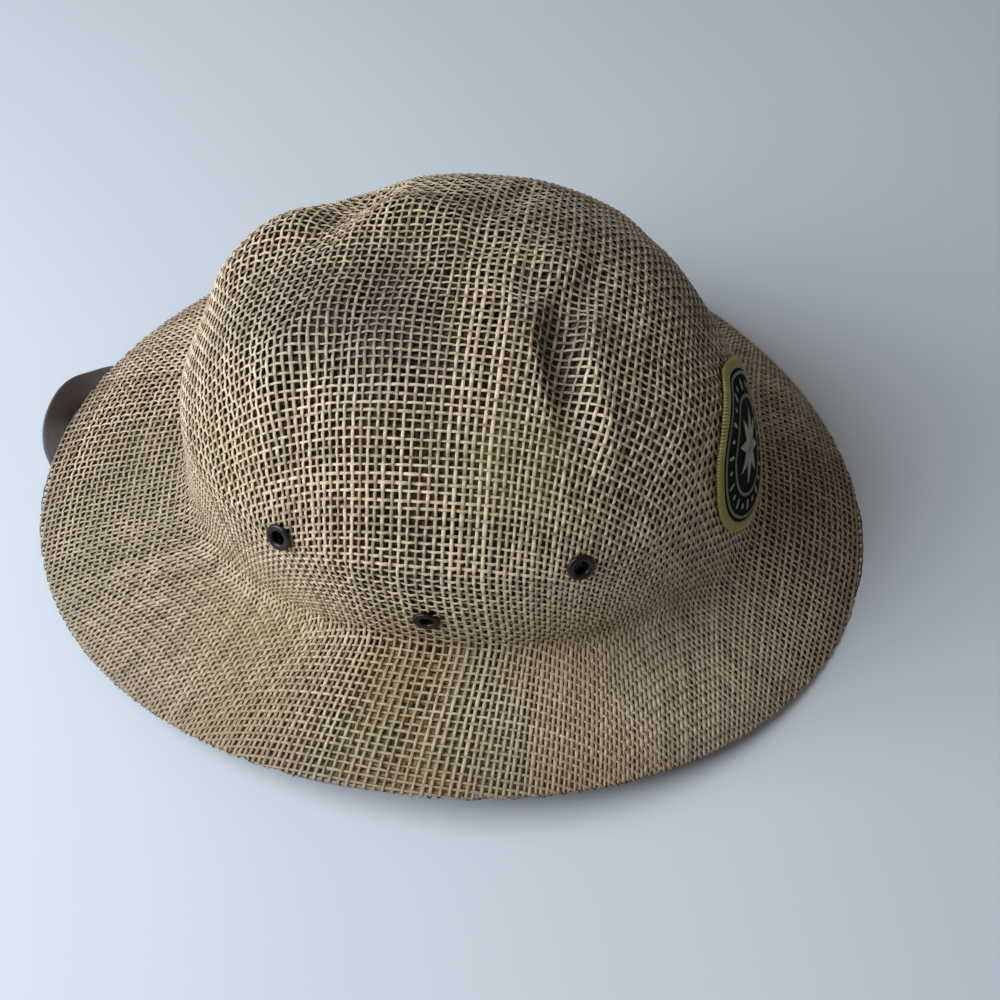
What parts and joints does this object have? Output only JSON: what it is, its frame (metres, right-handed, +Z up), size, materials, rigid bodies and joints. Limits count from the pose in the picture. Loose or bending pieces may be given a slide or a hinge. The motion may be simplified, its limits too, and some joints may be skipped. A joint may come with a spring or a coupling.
{
  "type": "mesh sun helmet",
  "caption": "Pith-style sun helmet of open straw mesh with a domed crown, downturned oval brim, vent eyelets, round front patch and chin strap.",
  "frame": {"origin": "middle of the hat's footprint, chin strap included, on the surface it stands on", "axes": "+X towards the front of the hat, +Y towards the wearer's left, +Z up out of the crown"},
  "size_m": [0.3412, 0.28, 0.1339],
  "materials": {
    "straw_mesh": "open woven paper straw, dry and slightly glossy on the flat of the yarn",
    "eyelet_metal": "dark bronze, satin",
    "patch_cloth": "close embroidered thread, matt",
    "pale_thread": "satin stitched thread",
    "border_thread": "overlocked yellow-green thread with a silky sheen",
    "strap_leather": "smooth, taupe brown, satin"
  },
  "bodies": {
    "root": {"woven_shell": "straw_mesh", "eyelet_right_rear": "eyelet_metal", "eyelet_right_middle": "eyelet_metal", "eyelet_right_front": "eyelet_metal", "eyelet_left_rear": "eyelet_metal", "eyelet_left_middle": "eyelet_metal", "eyelet_left_front": "eyelet_metal", "patch_field": "patch_cloth", "patch_star": "pale_thread", "patch_border": "border_thread", "chin_strap": "strap_leather"}
  },
  "joints": []
}
